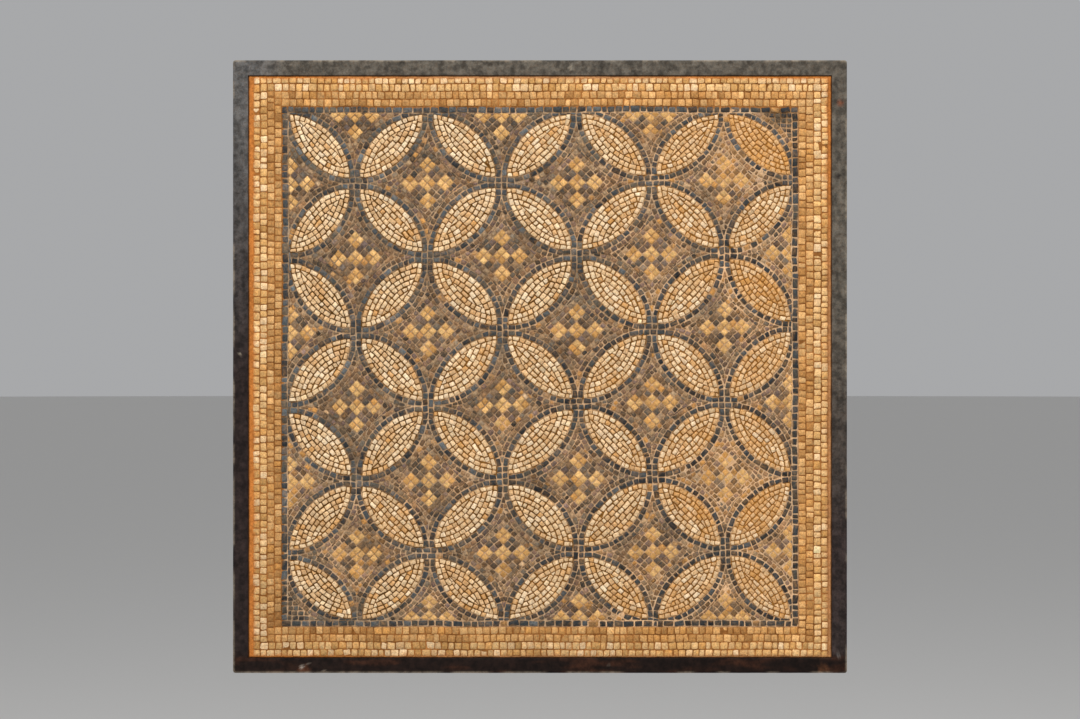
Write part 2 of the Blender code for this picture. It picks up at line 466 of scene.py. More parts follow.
# Where the stray of the field is known: at its edges and in the middle of every row and column.
KNOWN = [-HALF_FIELD, *((i + 0.5) * PITCH - HALF_FIELD for i in range(COLUMNS)), HALF_FIELD]


def petal_strays():
    """How far each petal lies from its place in the even lattice, with the field's straight edges.

    The result is indexed by known z, known x and axis, upwards and to the right.
    """
    strays = np.empty((ROWS, COLUMNS, 2))
    for row in range(ROWS):
        for column in range(COLUMNS):
            low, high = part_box(f"petal_r{row + 1}_c{column + 1}")
            middle = (low + high) / 2
            strays[ROWS - 1 - row, column] = (middle.x, middle.z) - lattice(row + 0.5, column + 0.5)
    strays = np.pad(strays, ((1, 1), (1, 1), (0, 0)), mode="edge")
    for side, end in ((-1, 0), (1, -1)):
        strays[:, end, 0] = side * (FIELD_WIDTH / 2 - HALF_FIELD)
        strays[end, :, 1] = side * (FIELD_HEIGHT / 2 - HALF_FIELD)
    return strays


STRAYS = petal_strays()


def stray(points):
    """How far the field has strayed at points of the lattice, between the known places."""
    places = np.interp(points, KNOWN, np.arange(len(KNOWN)))
    low = np.minimum(places.astype(int), len(KNOWN) - 2)
    column, row = low.T
    right, up = (places - low).T[..., None]
    below = mix(STRAYS[row, column], STRAYS[row, column + 1], right)
    above = mix(STRAYS[row + 1, column], STRAYS[row + 1, column + 1], right)
    return mix(below, above, up)


def to_panel(polygon):
    return drifted(polygon + stray(polygon), DRIFT)


def from_panel(points):
    """Undoes to_panel, to within the drift."""
    return points - stray(points - stray(points))


def drifted(polygon, amount):
    """Moves each corner by a slow wave that its neighbours share."""
    moved = polygon.copy()
    for point, (x, z) in zip(moved, polygon):
        slow = (wave(x, z, 0.09, 11), wave(x, z, 0.09, 12))
        quick = (wave(x, z, 0.024, 13), wave(x, z, 0.024, 14))
        point += amount * (np.array(slow) + 0.4 * np.array(quick))
    return moved


def border_stones(level):
    """One of the four plain rows round the field, counted outward, in the panel's own sizes."""
    for quadrant, along, inward, length, distance in sides(FIELD_WIDTH / 2, FIELD_HEIGHT / 2):
        before, own, after = (BORDER_PITCHES[(quadrant + turn) % 4] for turn in (-1, 0, 1))
        start = -length - LINE_MARGIN - level * before
        end = length + LINE_MARGIN + (level - 1) * after
        inner = -LINE_MARGIN - (level - 1) * own
        outer = inner - own + (OUTER_CUTS[quadrant] if level == 4 else 0)
        for a, b in pairs(steps(start, end, BORDER_STONE, 0.13)):
            stone = slanted(-inward * distance, along, a, b, outer, inner)
            yield drifted(stone, 0.5 * DRIFT)


# ---- dirt over the whole face --------------------
OCHRE_PATCHES = (  # x, z, radius and strength of broad patches of silt
    (0.355, 0.365, 0.08, 1.1),
    (0.36, 0.12, 0.05, 0.5),
    (0.36, 0.0, 0.05, 0.4),
    (0.30, -0.18, 0.085, 0.7),
    (0.42, 0.18, 0.07, 0.3),
    (0.41, -0.30, 0.09, 0.25),
    (0.30, -0.37, 0.03, 0.5),
    (0.18, 0.40, 0.07, 0.4),
    (0.30, 0.16, 0.06, 0.3),
    (0.18, 0.17, 0.08, 0.2),
    (-0.18, 0.30, 0.06, 0.2),
    (-0.40, -0.18, 0.06, 0.2),
    (0.18, -0.41, 0.08, 0.3),
    (-0.30, -0.30, 0.07, 0.15),
    (0.415, 0.42, 0.05, -0.5),
    (-0.40, -0.42, 0.07, -0.4),
    (-0.05, 0.41, 0.05, -0.2),
)
SILT = linear((216, 156, 84))


def grime(x, z):
    """How much the lower left of the panel is darkened, from 0 to 1."""
    return smooth(-0.02, -0.42, z) * (1 - 0.9 * smooth(0.05, 0.35, x))


def silt(x, z):
    """How much ochre silt clings to the face here, from 0 to 1."""
    amount = 0.14 + 0.18 * smooth(0.02, 0.42, x) + 0.1 * smooth(0.1, -0.4, z)
    amount += 0.12 * wave(x, z, 0.11, 1) + 0.12 * wave(x, z, 0.03, 2)
    amount += sum(blotch(x, z, patch) for patch in OCHRE_PATCHES)
    return min(max(amount, 0.0), 1.0)


def margin_mortar(x, z):
    """Mortar all round the mosaic: brown, but orange at the left and the upper right."""
    orange = smooth(-0.05, -0.42, x + 0.08 * wave(x, z, 0.1, 9)) + smooth(0.55, 0.8, x + z)
    colour = mix(linear((190, 134, 86)), linear((197, 121, 56)), min(orange, 1.0))
    return colour * (1 + 0.2 * wave(x, z, 0.02, 25))


def past_border(x, z):
    """How far a point lies outside the outermost row, or inside it where negative."""
    sides = (-z - FIELD_HEIGHT / 2, x - FIELD_WIDTH / 2, z - FIELD_HEIGHT / 2, -x - FIELD_WIDTH / 2)
    reaches = (LINE_MARGIN + 4 * pitch - cut for pitch, cut in zip(BORDER_PITCHES, OUTER_CUTS))
    return max(side - reach for side, reach in zip(sides, reaches))


def smeared(x, z):
    """How much the margin's mortar covers the outermost stones."""
    past = past_border(x, z)
    if past < -9 * MM:
        return 0.0
    return 0.95 * smooth(-3.2 * MM, 0, past + 2.6 * MM * wave(x, z, 0.013, 8))


def paler(dark, pale, share):
    return mix(linear(dark), linear(pale), min(max(share, 0.0), 1.0))


def ground_soil(x, z):
    """The colour of the dirt in the ground's joints; the next four are for other stones."""
    share = 0.36 + 0.3 * x + 0.7 * wave(x, z, 0.04, 3) + 0.3 * silt(x, z)
    return paler((62, 44, 27), (208, 152, 94), share)


def chequer_soil(x, z):
    return paler((70, 45, 22), (164, 112, 56), 0.4 + 0.4 * x + 0.6 * wave(x, z, 0.03, 7))


def outline_soil(x, z):
    """Dirt beside the outlines: pale at the lower right, dark at the upper left and right."""
    share = 0.86 + 0.35 * x - 0.3 * z + 0.7 * wave(x, z, 0.06, 3) - 0.5 * smooth(0.7, 0.8, x + z)
    return paler((60, 48, 36), (252, 216, 176), share)


def petal_soil(x, z):
    share = 0.25 + 0.5 * x + 0.35 * silt(x, z) + 0.3 * wave(x, z, 0.07, 4)
    return paler((96, 64, 22), (180, 124, 54), share)


def border_soil(x, z):
    return paler((126, 79, 35), (174, 115, 60), 0.5 + 0.8 * wave(x, z, 0.04, 6))


def grimed(amount, paler_right=0.0):
    """A shade that darkens stones by up to amount where the grime is, and lightens the right."""
    return lambda x, z: (1 - amount * grime(x, z)) * (1 + paler_right * smooth(-0.3, 0.45, x))


def deeper(x, z):
    """The shade of the outlines, which are darkest at the lower right."""
    return 1.38 - 0.58 * smooth(-0.6, 0.6, x - z)


class Kind(NamedTuple):
    """How one kind of stone looks, and how it wears."""

    palette: tuple  # sRGB colours, mixed two at a time
    spread: float  # how much its stones differ in brightness
    joint: float  # between it and its neighbours
    chip: float  # the most that is worn off a corner
    held: float  # the share of the silt that it holds
    shade: Callable  # how its brightness changes over the panel
    soil: Callable  # the colour of the dirt in its joints


KINDS = {
    "cream": Kind(
        ((238, 196, 138), (248, 214, 168), (224, 176, 112), (232, 190, 132), (202, 154, 92)),
        0.09, 1.4 * MM, 1.9 * MM, 0.3, grimed(0.22, 0.05), border_soil,
    ),
    "tan": Kind(
        ((198, 149, 91), (211, 164, 107), (189, 138, 80), (221, 175, 117), (170, 120, 66)),
        0.11, 1.3 * MM, 1.5 * MM, 0.35, grimed(0.08, 0.13), border_soil,
    ),
    "petal": Kind(
        ((241, 214, 174), (230, 196, 152), (249, 225, 190), (216, 174, 126), (237, 204, 160)),
        0.08, 1.9 * MM, 1.3 * MM, 1.0, grimed(0.05), petal_soil,
    ),
    "outline": Kind(
        ((66, 71, 74), (50, 54, 57), (82, 87, 89), (38, 40, 42), (80, 75, 66), (60, 63, 62)),
        0.17, 1.8 * MM, 1.5 * MM, 0.04, deeper, outline_soil,
    ),
    "ground": Kind(
        ((110, 100, 86), (115, 95, 87), (87, 72, 57), (63, 61, 56), (156, 131, 102), (135, 104, 75)),
        0.24, 1.2 * MM, 1.7 * MM, 0.36, grimed(0.06), ground_soil,
    ),
    "check": Kind(
        ((99, 90, 80), (108, 92, 85), (74, 71, 65), (124, 103, 81), (91, 74, 58)),
        0.22, 1.1 * MM, 1.3 * MM, 0.36, grimed(0.06), ground_soil,
    ),
    "slate": Kind(
        ((66, 70, 73), (52, 55, 58), (88, 87, 80), (42, 44, 45), (98, 87, 72)),
        0.17, 1.8 * MM, 1.5 * MM, 0.12, grimed(0.06), outline_soil,
    ),
    "ochre": Kind(
        ((221, 176, 113), (231, 187, 124), (210, 162, 99), (196, 147, 86), (227, 182, 121)),
        0.1, 1.1 * MM, 1.1 * MM, 0.3, grimed(0.08), chequer_soil,
    ),
}


# ---- stones as meshes ----------------------------
RIM_DEPTH = 0.65 * MM  # from a stone's face down to where its sides begin
RIM_WIDTH = 0.6 * MM  # how far the face is drawn in from the sides
RIM_DIRT = 0.25
LIFT = 0.26 * MM  # how unevenly stones stand, tilt and turn, and how rough their shapes are
TILT = 0.04
TURN = math.radians(3)
ROUGH_SHAPE = 0.4 * MM


class Tesserae:
    """Gathers stones into one mesh, with a colour at every vertex."""

    def __init__(self):
        self.points = []
        self.faces = []
        self.colours = []
        self.count = 0

    def lay(self, polygon, kind):
        """Adds one stone, from its share of the plane with half a joint round it."""
        room = area(polygon)
        if room < SMALLEST_STONE:
            return
        stone = hand_set(polygon, min(kind.joint, 0.16 * math.sqrt(room)))  # finer round slivers
        if area(stone) < SMALLEST_STONE:
            return
        centre = stone.mean(0)
        rim = worn_outline(stone, kind.chip)
        count = len(rim)
        rings = (  # outline, depth under the face, roughness and share of dirt
            (mix(centre, rim, 0.97), STONE_DEPTH, 0, 1.0),
            (rim, RIM_DEPTH, 0.1 * MM, RIM_DIRT),
            (drawn_in(rim, centre, RIM_WIDTH), 0.06 * MM, 0.08 * MM, 0.0),
            (centre[None], 0, 0, 0.0),
        )
        lift = LIFT * rng.standard_normal()
        tilt = TILT * rng.standard_normal(2)
        dirt = kind.soil(*centre)
        clean = stone_colour(kind) * kind.shade(*centre)
        cover = stained(kind, *centre)
        for ring, depth, rough, share in rings:
            y = FACE_Y + depth + lift + (ring - centre) @ tilt
            y += rough * rng.standard_normal(len(ring))
            self.points.append(np.stack([ring[:, 0], y, ring[:, 1]], 1))
            covers = np.clip(cover + 0.12 * rng.standard_normal((len(ring), 1)), 0, 0.95)
            shades = np.exp(0.05 * rng.standard_normal((len(ring), 1)))
            colours = mix(mix(clean, SILT, covers) * shades, dirt, share)
            smears = np.array([[smeared(x, z)] for x, z in ring])
            self.colours.append(mix(colours, margin_mortar(*centre), smears))
        self.add_faces(count)

    def add_faces(self, count):
        """The faces of a stone: closed behind, two bands round it and a fan over the top."""
        first = self.count
        self.faces.append(tuple(range(first + count - 1, first - 1, -1)))
        for low in (first, first + count):
            for i in range(count):
                j = (i + 1) % count
                self.faces.append((low + i, low + j, low + count + j, low + count + i))
        top = first + 2 * count
        for i in range(count):
            self.faces.append((top + i, top + (i + 1) % count, top + count))
        self.count += 3 * count + 1

    def piece(self, name, material, slot, node):
        points = np.concatenate(self.points)
        colours = np.concatenate(self.colours)
        mesh = show(name, points.tolist(), self.faces, colours, material, node)
        unwrap_flat(mesh, points)


def stone_colour(kind):
    first, second = rng.integers(len(kind.palette), size=2)
    colour = mix(linear(kind.palette[first]), linear(kind.palette[second]), rng.random())
    return colour * math.exp(kind.spread * rng.standard_normal())


def stained(kind, x, z):
    """How much silt covers one stone: a few are thick with it and the rest hold a film."""
    held = kind.held * silt(x, z)
    caked = held**3  # near 1 only where the silt is thickest
    if rng.random() < 0.6 * held:
        return rng.uniform(mix(0.3, 0.6, caked), 0.8)
    return rng.uniform(mix(0.2, 0.6, caked), 1.0) * held


def unwrap_flat(mesh, points):
    """Lays the texture square on the face, so that a bake keeps each stone in its place."""
    low, high = points.min(0), points.max(0)
    flat = ((points - low) / (high - low).max())[:, [0, 2]]
    corners_of = np.zeros(len(mesh.loops), np.int32)
    mesh.loops.foreach_get("vertex_index", corners_of)
    layer = mesh.uv_layers.new(name="OFBake")
    layer.data.foreach_set("uv", flat[corners_of].astype(np.float32).ravel())


def hand_set(polygon, joint):
    """The stone itself: a little out of place and turned, and half a joint in from every side."""
    polygon = without_short_edges(polygon)
    if len(polygon) < 3:
        return polygon
    centre = polygon.mean(0)
    turn = TURN * rng.standard_normal()
    cosine, sine = math.cos(turn), math.sin(turn)
    moved = (polygon - centre) @ np.array([(cosine, sine), (-sine, cosine)])
    moved += centre + ROUGH_SHAPE * rng.standard_normal(moved.shape)
    stone = moved
    for start, end in zip(moved, np.roll(moved, -1, 0)):
        edge = end - start
        length = np.linalg.norm(edge)
        if length > 0:
            outward = -crosswise(edge) / length
            stone = clipped(stone, start - outward * joint / 2, outward)
    return stone


def without_short_edges(polygon):
    """Drops corners so close to the one before that moving them would turn the edge between."""
    kept = [
        point
        for point, before in zip(polygon, np.roll(polygon, 1, 0))
        if math.dist(point, before) > 1.4 * MM
    ]
    return np.array(kept)


def worn_outline(polygon, chip):
    """Cuts each corner off, by a different amount."""
    rim = []
    for i, point in enumerate(polygon):
        for towards in (polygon[i - 1], polygon[(i + 1) % len(polygon)]):
            length = np.linalg.norm(towards - point)
            cut = min(rng.uniform(0.25, 1) * chip, 0.34 * length)
            rim.append(mix(point, towards, cut / max(length, 1e-9)))
    return np.array(rim)


def drawn_in(rim, centre, amount):
    away = rim - centre
    lengths = np.linalg.norm(away, axis=1)[:, None]
    return rim - away * np.minimum(amount / lengths, 0.5)


def paint(mesh, colours):
    """Stores linear colours at the vertices, where the materials read them."""
    layer = mesh.color_attributes.new("Paint", "FLOAT_COLOR", "POINT")
    values = np.ones((len(mesh.vertices), 4), np.float32)
    values[:, :3] = np.clip(colours, 0, 1)
    layer.data.foreach_set("color", values.ravel())


def show(name, points, faces, colours, material, node):
    """Makes a painted mesh and shows it as a piece of the object, in place of a CAD node."""
    mesh = bpy.data.meshes.new(name)
    mesh.from_pydata(points, [], faces)
    paint(mesh, colours)
    mesh.shade_smooth()
    mesh.materials.append(material)
    piece = bpy.data.objects.new(name, mesh)
    bpy.context.scene.collection.objects.link(piece)
    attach(piece, "root")
    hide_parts(node)
    return mesh


# ---- materials -----------------------------------
def node_tree(name):
    material = bpy.data.materials.new(name)
    material.use_nodes = True
    return material, material.node_tree, material.node_tree.nodes["Principled BSDF"]


def add(tree, kind, **inputs):
    node = tree.nodes.new(kind)
    for name, value in inputs.items():
        node.inputs[name.replace("_", " ")].default_value = value
    return node


def ramp(tree, source, stops):
    """Turns a number into greys or colours between (position, value) stops."""
    node = tree.nodes.new("ShaderNodeValToRGB")
    elements = node.color_ramp.elements
    while len(elements) < len(stops):
        elements.new(0.5)
    for element, (position, value) in zip(elements, stops):
        element.position = position
        element.color = (*np.broadcast_to(value, 3), 1)
    tree.links.new(source, node.inputs["Fac"])
    return node.outputs["Color"]


def multiplied(tree, colour, factor):
    node = tree.nodes.new("ShaderNodeMix")
    node.data_type = "RGBA"
    node.blend_type = "MULTIPLY"
    node.inputs["Factor"].default_value = 1
    tree.links.new(colour, node.inputs["A"])
    tree.links.new(factor, node.inputs["B"])
    return node.outputs["Result"]


def noise_texture(tree, size, detail=3.0):
    """Noise with features about size metres across."""
    coordinates = tree.nodes.new("ShaderNodeTexCoord")
    node = add(tree, "ShaderNodeTexNoise", Scale=1 / size, Detail=detail, Roughness=0.6)
    tree.links.new(coordinates.outputs["Object"], node.inputs["Vector"])
    return node.outputs["Fac"]


def bumped(tree, shader, *layers):
    """Stacks bumps, each from (height output, depth in metres)."""
    previous = None
    for height, depth in layers:
        bump = add(tree, "ShaderNodeBump", Strength=1.0, Distance=depth)
        tree.links.new(height, bump.inputs["Height"])
        if previous:
            tree.links.new(previous, bump.inputs["Normal"])
        previous = bump.outputs["Normal"]
    tree.links.new(previous, shader.inputs["Normal"])


def mottled(name, size, mottle, stain, roughness, grain, sheen):
    """A surface coloured by its mesh, with mottling, stains, pits and grain of its own."""
    material, tree, shader = node_tree(name)
    shader.inputs["Specular IOR Level"].default_value = sheen
    attribute = tree.nodes.new("ShaderNodeVertexColor")
    attribute.layer_name = "Paint"
    clouds = noise_texture(tree, size)
    specks = noise_texture(tree, 0.9 * MM)
    colour = multiplied(
        tree, attribute.outputs["Color"], ramp(tree, clouds, ((0.36, 1 - mottle), (0.64, 1 + mottle)))
    )
    colour = multiplied(tree, colour, ramp(tree, specks, ((0.34, 0.66), (0.46, 1.0), (0.68, 1.12))))
    stains = noise_texture(tree, 2.6 * MM, 2)
    colour = multiplied(tree, colour, ramp(tree, stains, ((0.46, 1.0), (0.66, stain))))
    tree.links.new(colour, shader.inputs["Base Color"])
    low, high = roughness
    tree.links.new(ramp(tree, clouds, ((0.3, high), (0.7, low))), shader.inputs["Roughness"])
    bumped(tree, shader, (clouds, grain), (specks, grain * 0.4))
    return material


# ---- mortar --------------------------------------
EVEN_LINES = 243  # across the bed; with those beside the frame they make an even number of steps
BESIDE_FRAME = np.array([0.2, 1.2, 2.4]) * MM
BORDER_SUNK = 0.9 * MM  # how far the mortar lies under the stones' faces
PETAL_SUNK = 1.7 * MM
FIELD_SUNK = 1.6 * MM
SILTED_SUNK = 0.6 * MM


def mortar_piece(material):
    """The bed: trowelled behind, and sunk between the tesserae in front."""
    xs = bed_lines(bed_low.x, bed_high.x, HALF_WIDTH - FACE_LEG)
    zs = bed_lines(bed_low.z, bed_high.z, HALF_HEIGHT - FACE_LEG)
    columns = len(xs) - 1
    points = []
    colours = []
    grid = np.array([(x, z) for z in zs for x in xs])
    for (x, z), even in zip(grid, from_panel(grid)):
        y, colour = mortar_at(x, z, even)
        points.append((x, y, z))
        colours.append(colour)
    faces = grid_faces(columns, 0, 1)
    back_columns = columns // 2
    start = len(points)
    for z in zs[::2]:
        for x in xs[::2]:
            stroke = wave(0.2 * x + 0.05 * z, z - 0.3 * x * x, 0.016, 21)  # of the trowel
            rough = 0.7 * MM * stroke + 0.4 * MM * wave(x, z, 0.2, 22)
            points.append((x, bed_high.y - 1.1 * MM + rough, z))
            shade = 1 + 0.12 * stroke + 0.25 * wave(x, z, 0.09, 23)
            colours.append(linear((158, 146, 128)) * shade)
    faces += grid_faces(back_columns, start, -1)
    faces += stitched_sides(columns, start)
    show("mortar", points, faces, colours, material, "mortar_bed")


def bed_lines(low, high, framed):
    """Grid lines across the bed, with some close beside the frame."""
    even = np.linspace(low, high, EVEN_LINES)
    beside = framed - BESIDE_FRAME
    return np.sort(np.concatenate([even, beside, -beside]))


def grid_faces(columns, start, way):
    across = columns + 1
    faces = []
    for row in range(columns):
        for column in range(columns):
            a = start + row * across + column
            faces.append((a, a + 1, a + across + 1, a + across)[::way])
    return faces


def stitched_sides(columns, start):
    """Joins the front grid's rim to the back grid's, which has half as many points."""
    front = rim_of(columns, 0)
    back = rim_of(columns // 2, start)
    faces = []
    for i, point in enumerate(back):
        following = back[(i + 1) % len(back)]
        a, b = front[2 * i], front[2 * i + 1]
        c = front[(2 * i + 2) % len(front)]
        faces += [(a, point, b), (b, point, following), (b, following, c)]
    return faces


def rim_of(columns, start):
    across = columns + 1
    bottom = [start + i for i in range(columns)]
    right = [start + columns + i * across for i in range(columns)]
    top = [start + columns * across + columns - i for i in range(columns)]
    left = [start + (columns - i) * across for i in range(columns)]
    return bottom + right + top + left


def mortar_at(x, z, even):
    """The front surface and its colour at a point of the bed; even is its place in the lattice."""
    ripple = 0.2 * MM * wave(x, z, 0.012, 24)
    past = past_border(x, z)
    if past > -MM:
        gap = min(HALF_WIDTH - abs(x), HALF_HEIGHT - abs(z)) - FACE_LEG
        # Beside the frame the mortar sinks into a gap, and its dark brown there is a painted shadow
        # of the frame's leg.
        parted_and_shadowed = smooth(2.4 * MM, 0.4 * MM, gap + 0.8 * MM * wave(x, z, 0.02, 26))
        fill = 0.35 * MM + 0.3 * MM * wave(x, z, 0.014, 8) + 1.6 * MM * parted_and_shadowed
        return FACE_Y + fill, mix(margin_mortar(x, z), linear((78, 48, 28)), parted_and_shadowed)
    if past > -4 * BORDER_PITCHES[0]:
        return FACE_Y + BORDER_SUNK + ripple, border_soil(x, z)
    if in_petal(even):
        return FACE_Y + PETAL_SUNK + ripple, petal_soil(x, z)
    depth = mix(FIELD_SUNK, SILTED_SUNK, min(1.4 * silt(x, z), 1.0))
    return FACE_Y + depth + ripple, mix(ground_soil(x, z), outline_soil(x, z), 0.5)


def in_petal(point):
    """Whether a point of the lattice lies in one of the pale petals."""
    column = min(int((point[0] + HALF_FIELD) / PITCH), COLUMNS - 1)
    row = min(int((HALF_FIELD - point[1]) / PITCH), ROWS - 1)
    rising = (row + column) % 2 == 1
    first, second = ((0, 0), (1, 1)) if rising else ((0, 1), (1, 0))
    return all(
        math.dist(point, lattice(row + a, column + b)) < PETAL_RADIUS for a, b in (first, second)
    )


# ---- steel frame ---------------------------------
ARRIS = 0.9 * MM
PROFILE_STEP = 3 * MM
NEAR_CORNER = np.array([0, 0.8, 1.6, 2.5, 3.5, 5, 8]) * MM  # sections close to each mitre
FIRST_STRAIGHT = 12 * MM  # and the first of the even ones
STRAIGHT_SECTIONS = 321


def angle_profile():
    """The steel angle's section, as (depth in from the outer edge, y), clockwise."""
    leg_back = FRONT_Y + STEEL
    sharp = (
        (0, BACK_Y),
        (0, FRONT_Y),
        (FACE_LEG, FRONT_Y),
        (FACE_LEG, leg_back),
        (STEEL, leg_back),
        (STEEL, BACK_Y),
    )
    points = []
    for i, corner in enumerate(sharp):
        corner = np.array(corner)
        before = np.array(sharp[i - 1]) - corner
        after = np.array(sharp[(i + 1) % len(sharp)]) - corner
        before /= np.linalg.norm(before)
        after /= np.linalg.norm(after)
        for share in (0, 0.33, 0.67, 1):
            bend = mix(before, after, share)
            pull = 1 - 0.42 * 4 * share * (1 - share)
            points.append(corner + ARRIS * bend * pull)
    return filled_in(points, PROFILE_STEP)


def filled_in(points, spacing):
    """Adds points along the long sides of a closed outline."""
    result = []
    for i, point in enumerate(points):
        following = points[(i + 1) % len(points)]
        count = max(1, round(np.linalg.norm(following - point) / spacing))
        result += [mix(point, following, k / count) for k in range(count)]
    return result


def frame_piece(material):
    profile = angle_profile()
    near_corner = NEAR_CORNER / HALF_WIDTH
    end = 1 - FIRST_STRAIGHT / HALF_WIDTH
    straight = np.linspace(-end, end, STRAIGHT_SECTIONS)
    stations = np.concatenate([-1 + near_corner, straight, (1 - near_corner)[:0:-1]])
    points = []
    colours = []
    for _, along, inward, length, distance in sides(HALF_WIDTH, HALF_HEIGHT):
        for station in stations:
            for depth, y in profile:
                place = along * station * (length - depth) - inward * (distance - depth)
                points.append(worn_steel(rounded_corner(place, depth), y, depth))
                colours.append(paint_colour(*place, math.hypot(depth, y - FRONT_Y)))
    count = len(profile)
    total = 4 * len(stations)
    faces = []
    for i in range(total):
        for j in range(count):
            a = i * count
            b = ((i + 1) % total) * count
            k = (j + 1) % count
            faces.append((a + j, a + k, b + k, b + j))
    show("angle_frame", points, faces, colours, material, "frame")


def rounded_corner(place, depth):
    """Rounds the frame's outer corners as seen from the front."""
    past = np.abs(place) - (HALF_WIDTH - CORNER_RADIUS, HALF_HEIGHT - CORNER_RADIUS)
    if past.min() <= 0 or depth >= CORNER_RADIUS:
        return place
    excess = past * ((CORNER_RADIUS - depth) / np.linalg.norm(past) - 1)
    return place + np.sign(place) * excess


NICKS = (  # x, z, radius and depth of knocks in the front arrises
    (-0.385, -0.499, 0.014, 0.9 * MM),
    (-0.352, -0.499, 0.008, 0.6 * MM),
    (0.462, -0.499, 0.012, 1.0 * MM),
    (0.30, -0.499, 0.010, 0.5 * MM),
    (-0.5, -0.055, 0.006, 0.6 * MM),
    (0.5, 0.36, 0.009, 0.5 * MM),
    (-0.5, -0.36, 0.010, 0.5 * MM),
    (0.04, 0.499, 0.010, 0.5 * MM),
)


def worn_steel(place, y, depth):
    """A point of the frame, with hammered waviness and the knocks along its edges."""
    x, z = place
    y += 0.12 * MM * wave(x, z, 0.02, 31) + 0.2 * MM * wave(x, z, 0.1, 32)
    if y < FRONT_Y + STEEL:
        for nick_x, nick_z, radius, knock in NICKS:
            distance = math.hypot(x - nick_x, z - nick_z) / radius
            y += knock * max(0, 1 - distance**2)
    sideways = 0.15 * MM * wave(x + 3, z, 0.03, 33)
    if depth > STEEL:
        sideways *= 0.5
    inward = -np.sign(place) * (np.abs(place) > 0.45)
    return (x + inward[0] * sideways, min(y, BACK_Y), z + inward[1] * sideways)


PAINT_SPOTS = (  # x, z, radius, strength and colour of marks on the front
    (-0.489, 0.02, 0.002, 1.0, (150, 142, 126)),
    (0.489, 0.43, 0.006, 0.8, (122, 70, 44)),
    (0.486, 0.31, 0.004, 0.8, (40, 32, 28)),
    (0.488, -0.02, 0.004, 0.8, (36, 28, 24)),
    (0.05, 0.488, 0.005, 0.7, (140, 132, 118)),
    (-0.385, -0.494, 0.010, 0.6, (96, 56, 34)),
    (-0.388, -0.489, 0.0035, 0.9, (168, 158, 146)),
    (-0.378, -0.484, 0.0025, 0.7, (140, 128, 116)),
    (-0.352, -0.496, 0.003, 0.7, (130, 118, 106)),
    (0.462, -0.493, 0.010, 0.5, (110, 70, 44)),
    (0.112, -0.486, 0.0025, 0.4, (110, 98, 88)),
    (0.486, -0.470, 0.004, 0.6, (110, 104, 100)),
)


def paint_colour(x, z, from_arris):
    """Old dark paint: grey above, from dust and a painted sheen of the light from above, brown-black
    below, rusty along the bottom.
    """
    # Lighter towards the top and the right: partly dust, partly a painted sheen of the light from
    # above.
    dust_and_sheen = smooth(-0.2, 0.32, z + 0.3 * x + 0.05 * wave(x, z, 0.12, 41))
    inwards = smooth(-0.47, -0.4, x)  # the left side is the coldest grey and the darkest below; elsewhere the dark paint is lighter with a painted sheen
    dusty_and_sheened_grey = mix(linear((92, 90, 88)), linear((90, 84, 75)), inwards)
    dark_paint_sheened_right = mix(linear((40, 30, 28)), linear((53, 44, 42)), inwards)
    colour = mix(dark_paint_sheened_right, dusty_and_sheened_grey, dust_and_sheen)
    low = smooth(-0.46, -0.48, z)
    colour = mix(colour, linear((26, 14, 9)), low)
    rust = smooth(0.0, 0.5, wave(x, 6 * z, 0.05, 42)) * low
    colour = mix(colour, linear((66, 37, 22)), 0.5 * rust)
    brushed = (x, z) * np.where(np.abs((x, z)) < 0.47, 0.2, 1.0)  # along each bar
    colour = colour * (1 + 0.25 * wave(x, z, 0.03, 43) + 0.35 * wave(*brushed, 0.006, 44))
    for spot_x, spot_z, radius, strength, mark in PAINT_SPOTS:
        share = blotch(x, z, (spot_x, spot_z, radius, strength))
        colour = mix(colour, linear(mark), share)
    worn = smooth(-0.1, 0.3, wave(x, z, 0.03, 45) + 0.4 * smooth(0.4, 0.7, -x - z))
    rubbed = 0.6 * worn * smooth(2.2 * MM, 0.4 * MM, from_arris)
    return mix(colour, linear((150, 138, 120)), rubbed)


# ---- stage, light and camera ---------------------
FLOOR_Z = -0.9
FLOOR_RADIUS = 60
SEEN_WIDTH = 1.759  # how much of the plane of the panel's front the picture takes in
CAMERA_Z = 0.0116


def make_stage():
    bpy.ops.mesh.primitive_circle_add(
        vertices=64, radius=FLOOR_RADIUS, fill_type="NGON", location=(0, 0, FLOOR_Z)
    )
    floor = bpy.context.object
    floor.name = "studio_floor"
    material, _, shader = node_tree("pale_floor")
    shader.inputs["Base Color"].default_value = (0.72, 0.71, 0.69, 1)
    shader.inputs["Roughness"].default_value = 0.8
    floor.data.materials.append(material)
    world = bpy.data.worlds.new("studio")
    world.use_nodes = True
    background = world.node_tree.nodes["Background"]
    background.inputs["Color"].default_value = (0.93, 0.94, 0.96, 1)
    background.inputs["Strength"].default_value = 0.42
    scene = bpy.context.scene
    scene.world = world
    scene.view_settings.view_transform = "Standard"
    area_light("key", (0.7, -2.5, 3.4), (0, 0, 0), 2.0, 0.9, 120)
    area_light("fill", (-1.6, -2.6, -0.1), (0, 0, -0.3), 1.4, 1.4, 18)


def area_light(name, place, target, width, height, power):
    light = bpy.data.lights.new(name, "AREA")
    light.shape = "RECTANGLE"
    light.size = width
    light.size_y = height
    light.energy = power
    lamp = bpy.data.objects.new(name, light)
    lamp.location = place
    aim = Vector(target) - Vector(place)
    lamp.rotation_euler = aim.to_track_quat("-Z", "Y").to_euler()
    bpy.context.scene.collection.objects.link(lamp)


def make_camera():
    camera = bpy.data.cameras.new("camera")
    camera.lens = 85
    camera.sensor_width = 36
    distance = SEEN_WIDTH * camera.lens / camera.sensor_width
    place = bpy.data.objects.new("camera", camera)
    place.location = (0, FRONT_Y - distance, CAMERA_Z)
    place.rotation_euler = (QUARTER, 0, 0)
    bpy.context.scene.collection.objects.link(place)
    bpy.context.scene.camera = place


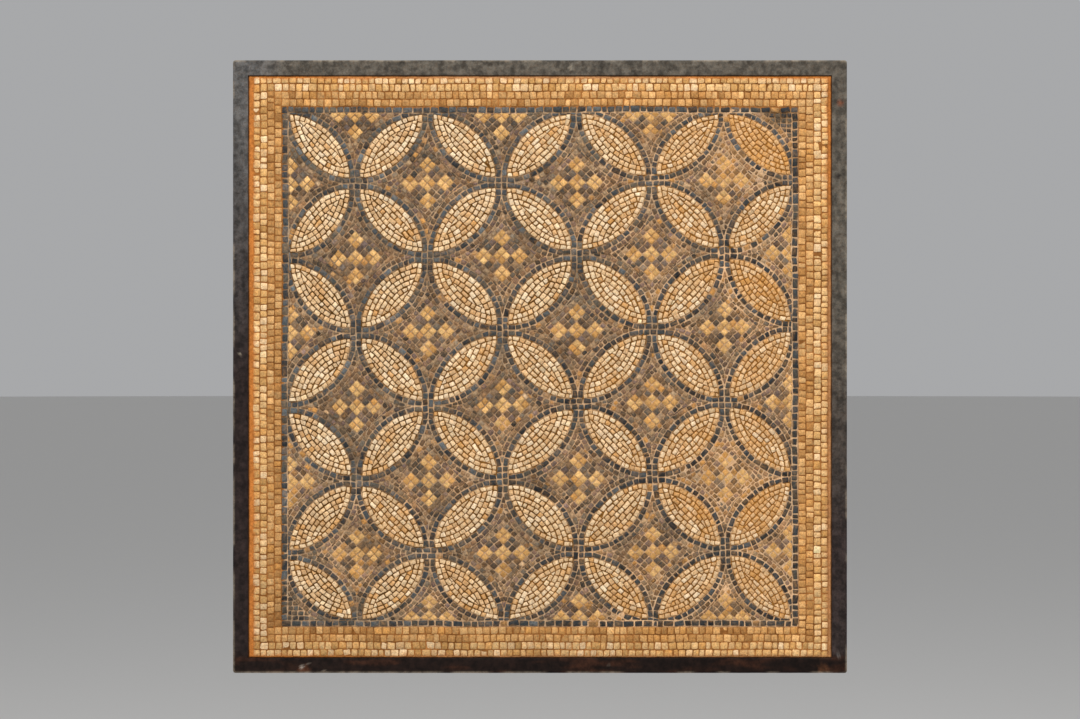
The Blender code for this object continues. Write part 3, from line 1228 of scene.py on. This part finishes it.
# ---- everything in its place ---------------------
LOST_STONES = ((-0.469, -0.034),)  # where the outer border row has lost one
LOST_REACH = 6 * MM  # how near its middle was to that place
BORDER_ROWS = (
    ("tan_row_inner", "tan", 1),
    ("tan_row_outer", "tan", 2),
    ("cream_row_inner", "cream", 3),
    ("cream_row_outer", "cream", 4),
)


def lay_petals(material):
    for row in range(ROWS):
        for column in range(COLUMNS):
            stones = Tesserae()
            for polygon in petal_stones(row, column):
                if len(polygon) >= 3:
                    stones.lay(to_panel(polygon), KINDS["petal"])
            node = f"petal_r{row + 1}_c{column + 1}"
            stones.piece(f"{node}_tesserae", material, "cream_stone", node)


def lay_field(dark, pale):
    outlines = Tesserae()
    for polygon in outline_stones():
        if len(polygon) >= 3:
            outlines.lay(to_panel(polygon), KINDS["outline"])
    outlines.piece("outline_tesserae", dark, "dark_stone", "dark_ground")
    line = Tesserae()
    for polygon in line_stones():
        line.lay(to_panel(polygon), KINDS["outline"])
    line.piece("field_line_tesserae", dark, "dark_stone", "dark_ground")
    ground = Tesserae()
    squares = Tesserae()
    for row, column in corners(1):
        for polygon, kind in field_stones(row, column):
            if len(polygon) >= 3:
                heap = squares if kind == "ochre" else ground
                heap.lay(to_panel(polygon), KINDS[kind])
    ground.piece("ground_tesserae", dark, "dark_stone", "dark_ground")
    squares.piece("ochre_square_tesserae", pale, "tan_stone", "dark_ground")


def lay_border(material):
    for node, kind, level in BORDER_ROWS:
        stones = Tesserae()
        for polygon in border_stones(level):
            gaps = [np.abs(polygon.mean(0) - lost).max() for lost in LOST_STONES]
            if min(gaps) > LOST_REACH:
                stones.lay(polygon, KINDS[kind])
        stones.piece(f"{node}_tesserae", material, f"{kind}_stone", node)


limestone = mottled("worn_limestone", 3 * MM, 0.22, (1.0, 0.9, 0.77), (0.6, 0.8), 0.4 * MM, 0.2)
slate = mottled("worn_slate", 3 * MM, 0.28, (1.1, 1.0, 0.86), (0.55, 0.75), 0.35 * MM, 0.2)
lay_petals(limestone)
lay_field(slate, limestone)
lay_border(limestone)
mortar_piece(mottled("sandy_mortar", 4 * MM, 0.2, (0.9, 0.86, 0.8), (0.8, 0.95), 0.5 * MM, 0.1))
frame_piece(mottled("worn_paint", 9 * MM, 0.42, (0.95, 0.85, 0.78), (0.5, 0.75), 0.15 * MM, 0.14))
make_stage()
make_camera()
